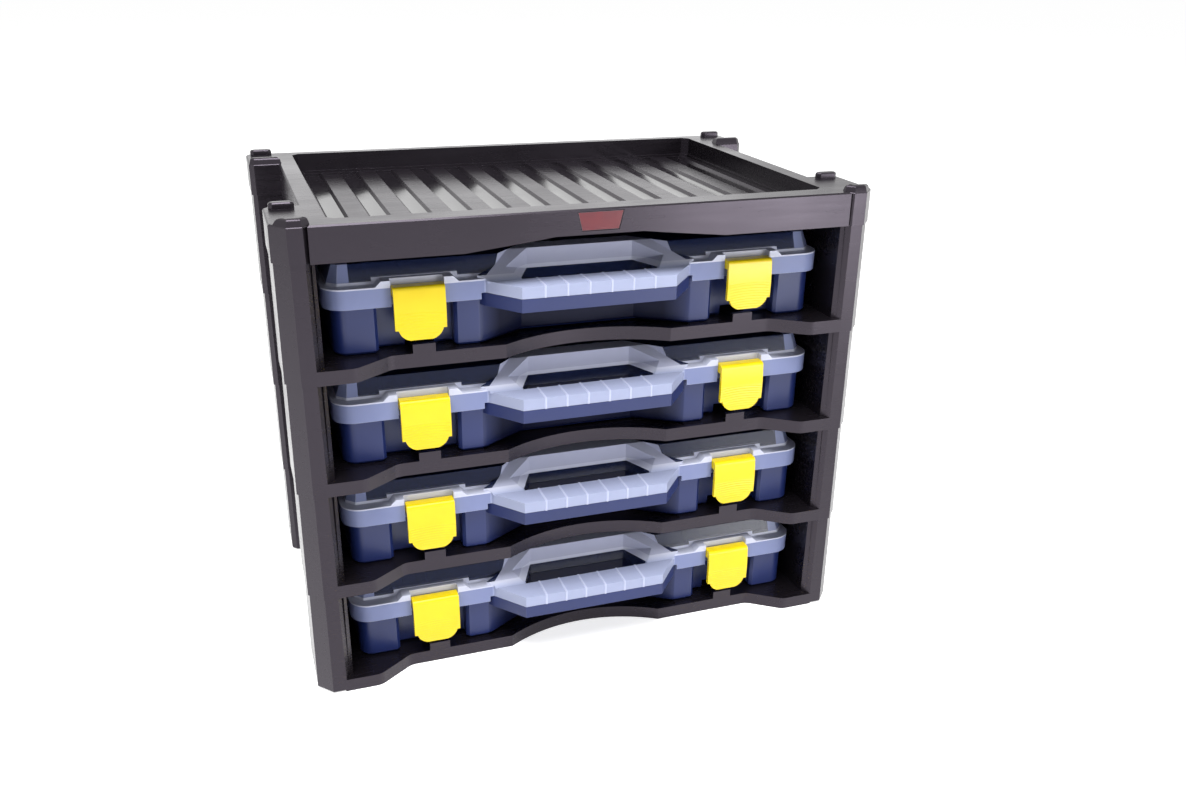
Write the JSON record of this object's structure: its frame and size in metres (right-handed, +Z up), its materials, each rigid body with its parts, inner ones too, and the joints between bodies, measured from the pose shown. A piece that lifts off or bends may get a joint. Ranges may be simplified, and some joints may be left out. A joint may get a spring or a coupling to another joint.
{
  "type": "assortment case rack",
  "caption": "Stacking rack of carrying cases with translucent latched lids, and a sunken fluted tray on top.",
  "frame": {"origin": "centre of the overall box, on the surface that the rack stands on", "axes": "+X to the right across the front, +Y towards the back, +Z up; the handles face -Y"},
  "size_m": [0.336, 0.2186, 0.2765],
  "materials": {
    "rack": "satin moulded",
    "badge": "plain gloss",
    "case_base": "satin moulded",
    "divider": "satin moulded",
    "lid": "frosted translucent, with a clear window",
    "latch": "gloss moulded"
  },
  "bodies": {
    "rack": {"rack_module_1": "rack", "rack_module_2": "rack", "rack_module_3": "rack", "rack_module_4": "rack", "top_tray": "rack", "badge_plate": "badge"},
    "case_1": {"case_1_base": "case_base", "case_1_dividers": "divider"},
    "lid_1": {"case_1_lid": "lid"},
    "latch_1_left": {"case_1_latch_left": "latch"},
    "latch_1_right": {"case_1_latch_right": "latch"},
    "case_2": {"case_2_base": "case_base", "case_2_dividers": "divider"},
    "lid_2": {"case_2_lid": "lid"},
    "latch_2_left": {"case_2_latch_left": "latch"},
    "latch_2_right": {"case_2_latch_right": "latch"},
    "case_3": {"case_3_base": "case_base", "case_3_dividers": "divider"},
    "lid_3": {"case_3_lid": "lid"},
    "latch_3_left": {"case_3_latch_left": "latch"},
    "latch_3_right": {"case_3_latch_right": "latch"},
    "case_4": {"case_4_base": "case_base", "case_4_dividers": "divider"},
    "lid_4": {"case_4_lid": "lid"},
    "latch_4_left": {"case_4_latch_left": "latch"},
    "latch_4_right": {"case_4_latch_right": "latch"}
  },
  "joints": [
    {"name": "case_1_slide", "type": "slide", "parent": "rack", "child": "case_1", "axis": [0, -1, 0], "range_m": [0, 0.185]},
    {"name": "lid_1_hinge", "type": "hinge", "parent": "case_1", "child": "lid_1", "pos_m": [0, 0.08355, 0.032], "axis": [-1, 0, 0], "range_deg": [0, 2.5]},
    {"name": "latch_1_left_hinge", "type": "hinge", "parent": "lid_1", "child": "latch_1_left", "pos_m": [-0.0955, -0.08915, 0.0424], "axis": [-1, 0, 0], "range_deg": [0, 95]},
    {"name": "latch_1_right_hinge", "type": "hinge", "parent": "lid_1", "child": "latch_1_right", "pos_m": [0.0955, -0.08915, 0.0424], "axis": [-1, 0, 0], "range_deg": [0, 95]},
    {"name": "case_2_slide", "type": "slide", "parent": "rack", "child": "case_2", "axis": [0, -1, 0], "range_m": [0, 0.185]},
    {"name": "lid_2_hinge", "type": "hinge", "parent": "case_2", "child": "lid_2", "pos_m": [0, 0.08355, 0.0955], "axis": [-1, 0, 0], "range_deg": [0, 2.5]},
    {"name": "latch_2_left_hinge", "type": "hinge", "parent": "lid_2", "child": "latch_2_left", "pos_m": [-0.0955, -0.08915, 0.1059], "axis": [-1, 0, 0], "range_deg": [0, 95]},
    {"name": "latch_2_right_hinge", "type": "hinge", "parent": "lid_2", "child": "latch_2_right", "pos_m": [0.0955, -0.08915, 0.1059], "axis": [-1, 0, 0], "range_deg": [0, 95]},
    {"name": "case_3_slide", "type": "slide", "parent": "rack", "child": "case_3", "axis": [0, -1, 0], "range_m": [0, 0.185]},
    {"name": "lid_3_hinge", "type": "hinge", "parent": "case_3", "child": "lid_3", "pos_m": [0, 0.08355, 0.159], "axis": [-1, 0, 0], "range_deg": [0, 2.5]},
    {"name": "latch_3_left_hinge", "type": "hinge", "parent": "lid_3", "child": "latch_3_left", "pos_m": [-0.0955, -0.08915, 0.1694], "axis": [-1, 0, 0], "range_deg": [0, 95]},
    {"name": "latch_3_right_hinge", "type": "hinge", "parent": "lid_3", "child": "latch_3_right", "pos_m": [0.0955, -0.08915, 0.1694], "axis": [-1, 0, 0], "range_deg": [0, 95]},
    {"name": "case_4_slide", "type": "slide", "parent": "rack", "child": "case_4", "axis": [0, -1, 0], "range_m": [0, 0.185]},
    {"name": "lid_4_hinge", "type": "hinge", "parent": "case_4", "child": "lid_4", "pos_m": [0, 0.08355, 0.2225], "axis": [-1, 0, 0], "range_deg": [0, 2.5]},
    {"name": "latch_4_left_hinge", "type": "hinge", "parent": "lid_4", "child": "latch_4_left", "pos_m": [-0.0955, -0.08915, 0.2329], "axis": [-1, 0, 0], "range_deg": [0, 95]},
    {"name": "latch_4_right_hinge", "type": "hinge", "parent": "lid_4", "child": "latch_4_right", "pos_m": [0.0955, -0.08915, 0.2329], "axis": [-1, 0, 0], "range_deg": [0, 95]}
  ]
}
